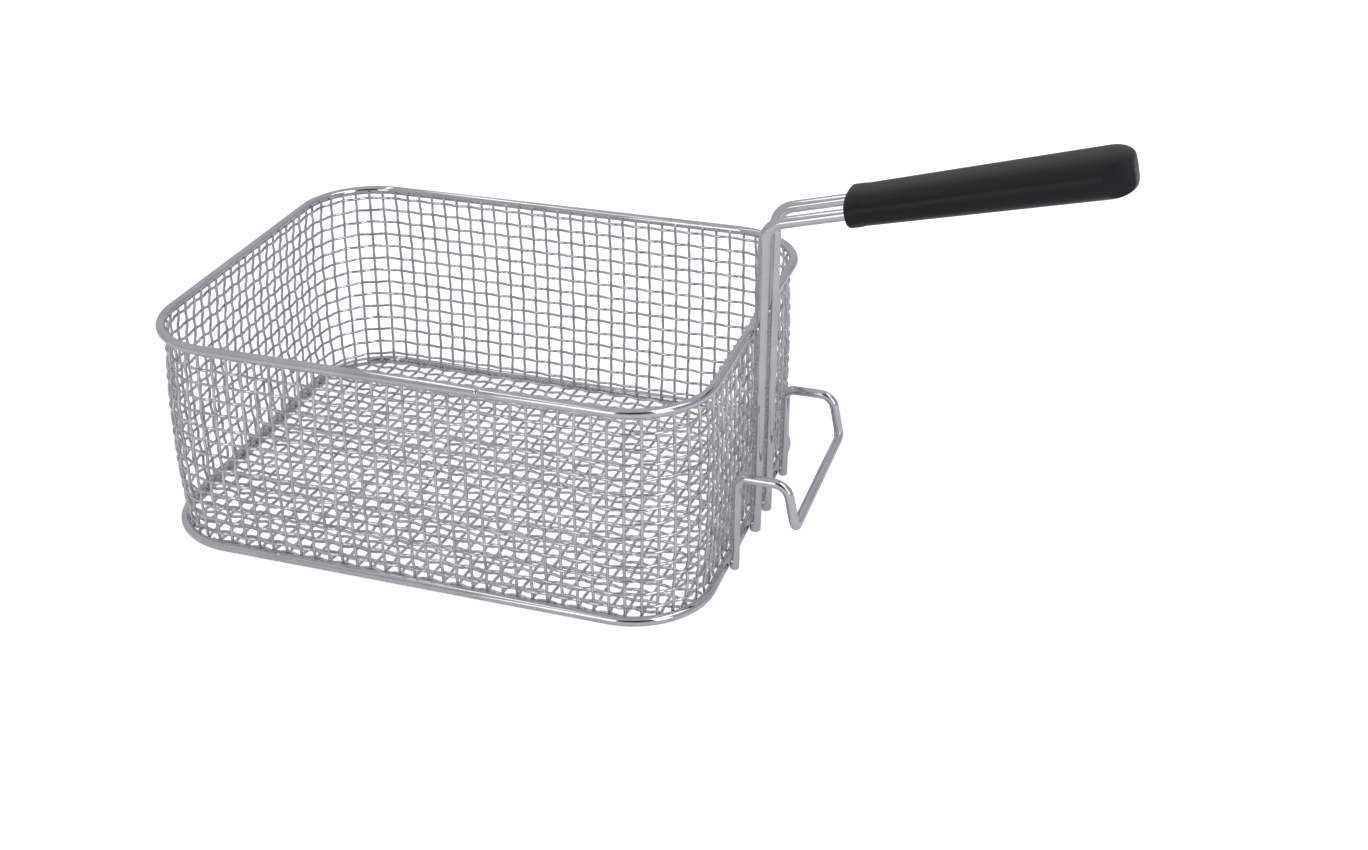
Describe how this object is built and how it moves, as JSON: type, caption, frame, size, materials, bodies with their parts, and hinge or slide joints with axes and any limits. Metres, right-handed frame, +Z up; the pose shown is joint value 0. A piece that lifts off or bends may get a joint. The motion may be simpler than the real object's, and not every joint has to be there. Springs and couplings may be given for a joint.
{
  "type": "deep fryer basket",
  "caption": "Rectangular open wire-mesh basket with a wire rim and base ring, a rear hook and a raised handle with a moulded grip.",
  "frame": {"origin": "on the surface the basket stands on, under the middle of the whole object's box", "axes": "+X from the basket towards the grip, +Y to the left seen from behind the basket looking along +X, +Z up"},
  "size_m": [0.4814, 0.241, 0.2298],
  "materials": {
    "rim_ring": "bright plated wire",
    "bottom_ring": "bright plated wire",
    "wall_mesh": "plated woven wire",
    "floor_mesh": "plated woven wire",
    "hook": "bright plated wire",
    "handle_wire_left": "bright plated wire",
    "handle_wire_right": "bright plated wire",
    "grip": "black satin moulding"
  },
  "bodies": {
    "root": {"rim_ring": "rim_ring", "bottom_ring": "bottom_ring", "wall_mesh": "wall_mesh", "floor_mesh": "floor_mesh", "hook": "hook", "handle_wire_left": "handle_wire_left", "handle_wire_right": "handle_wire_right", "grip": "grip"}
  },
  "joints": []
}
